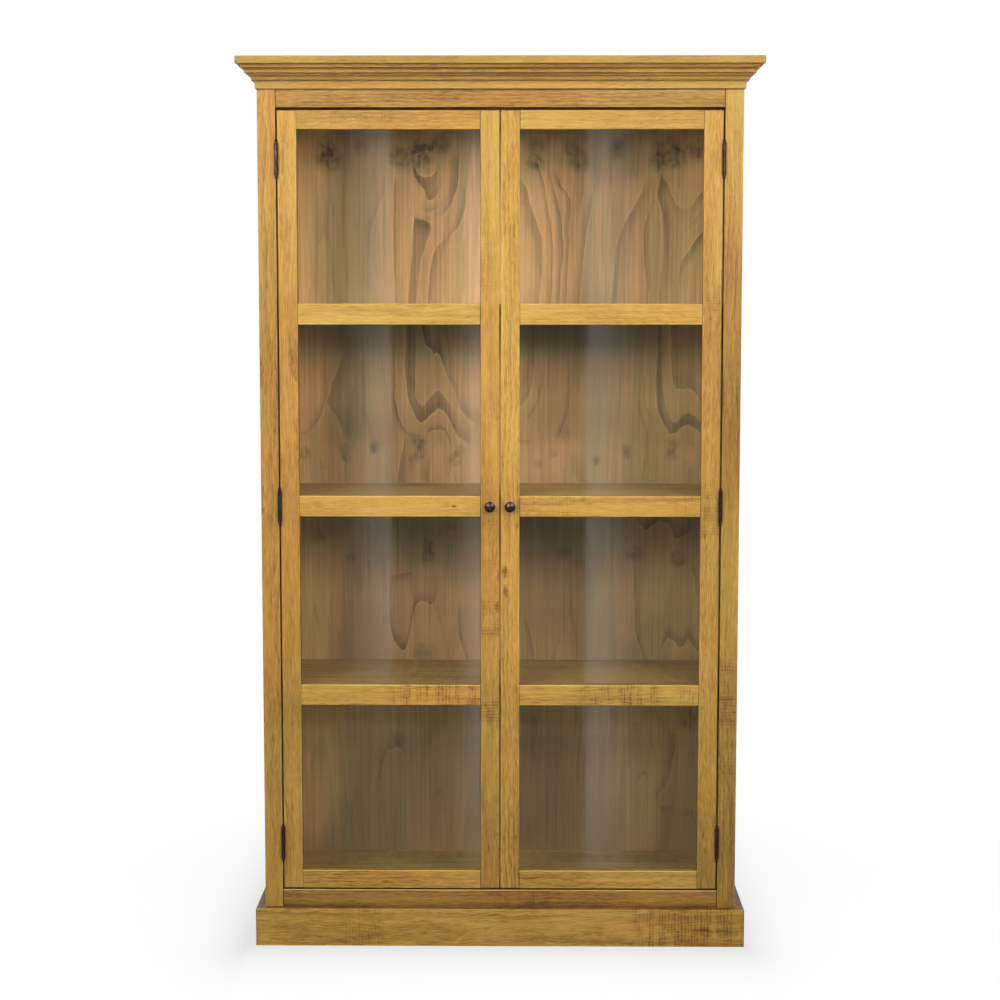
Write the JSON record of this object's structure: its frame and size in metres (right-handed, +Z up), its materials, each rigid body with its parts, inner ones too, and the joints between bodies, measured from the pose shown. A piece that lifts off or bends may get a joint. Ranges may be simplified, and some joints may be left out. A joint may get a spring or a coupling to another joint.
{
  "type": "bookcase with glass doors",
  "caption": "Tall free-standing wooden bookcase with a moulded crown and plinth, and a pair of hinged glazed doors with crossbars in front of its shelves.",
  "frame": {"origin": "on the floor, under the middle of the crown's top board, which is the widest and deepest piece", "axes": "+Z up, -Y out of the front through the doors, +X to the right of someone facing the doors"},
  "size_m": [1.1, 0.38, 1.9],
  "materials": {
    "honey_wood": "waxed honey-coloured wood with brushed grain and saw marks",
    "knotty_plywood": "knotty rotary-cut veneer plywood, thin matt lacquer",
    "door_glass": "clear float glass",
    "dark_bronze": "dark bronze, rubbed on the high spots",
    "zinc_steel": "zinc-plated steel",
    "brown_plastic": "moulded brown plastic",
    "magnet_iron": "ferrite magnet"
  },
  "bodies": {
    "cabinet": {"back_panel": "knotty_plywood", "back_panel_screws": "zinc_steel", "base_corner_blocks": "honey_wood", "bottom_face_rail": "honey_wood", "case_hinge_screws": "zinc_steel", "catch_housings": "brown_plastic", "catch_magnets": "magnet_iron", "catch_screws": "zinc_steel", "ceiling_panel": "honey_wood", "crown_front_moulding": "honey_wood", "crown_left_moulding": "honey_wood", "crown_right_moulding": "honey_wood", "crown_top_board": "honey_wood", "floor_panel": "honey_wood", "hinge_pins": "zinc_steel", "hinge_washers": "dark_bronze", "left_face_stile": "honey_wood", "left_hinge_case_leaves": "dark_bronze", "left_side_panel": "honey_wood", "lower_shelf": "honey_wood", "middle_shelf": "honey_wood", "plinth_front_board": "honey_wood", "plinth_left_board": "honey_wood", "plinth_right_board": "honey_wood", "rear_base_rail": "honey_wood", "right_face_stile": "honey_wood", "right_hinge_case_leaves": "dark_bronze", "right_side_panel": "honey_wood", "shelf_pins": "zinc_steel", "top_face_rail": "honey_wood", "upper_shelf": "honey_wood"},
    "left_door": {"left_door_bottom_rail": "honey_wood", "left_door_glass_panes": "door_glass", "left_door_glazing_beads": "honey_wood", "left_door_hinge_leaves": "dark_bronze", "left_door_hinge_stile": "honey_wood", "left_door_knob": "dark_bronze", "left_door_knob_bolt": "zinc_steel", "left_door_lower_bar": "honey_wood", "left_door_meeting_stile": "honey_wood", "left_door_middle_bar": "honey_wood", "left_door_screws": "zinc_steel", "left_door_strike_plate": "zinc_steel", "left_door_top_rail": "honey_wood", "left_door_upper_bar": "honey_wood"},
    "right_door": {"right_door_bottom_rail": "honey_wood", "right_door_glass_panes": "door_glass", "right_door_glazing_beads": "honey_wood", "right_door_hinge_leaves": "dark_bronze", "right_door_hinge_stile": "honey_wood", "right_door_knob": "dark_bronze", "right_door_knob_bolt": "zinc_steel", "right_door_lower_bar": "honey_wood", "right_door_meeting_stile": "honey_wood", "right_door_middle_bar": "honey_wood", "right_door_screws": "zinc_steel", "right_door_strike_plate": "zinc_steel", "right_door_top_rail": "honey_wood", "right_door_upper_bar": "honey_wood"}
  },
  "joints": [
    {"name": "left_door_swing", "type": "hinge", "parent": "cabinet", "child": "left_door", "pos_m": [-0.4695, -0.155, 0.9575], "axis": [0, 0, -1], "range_deg": [0, 170]},
    {"name": "right_door_swing", "type": "hinge", "parent": "cabinet", "child": "right_door", "pos_m": [0.4695, -0.155, 0.9575], "axis": [0, 0, 1], "range_deg": [0, 170]}
  ]
}
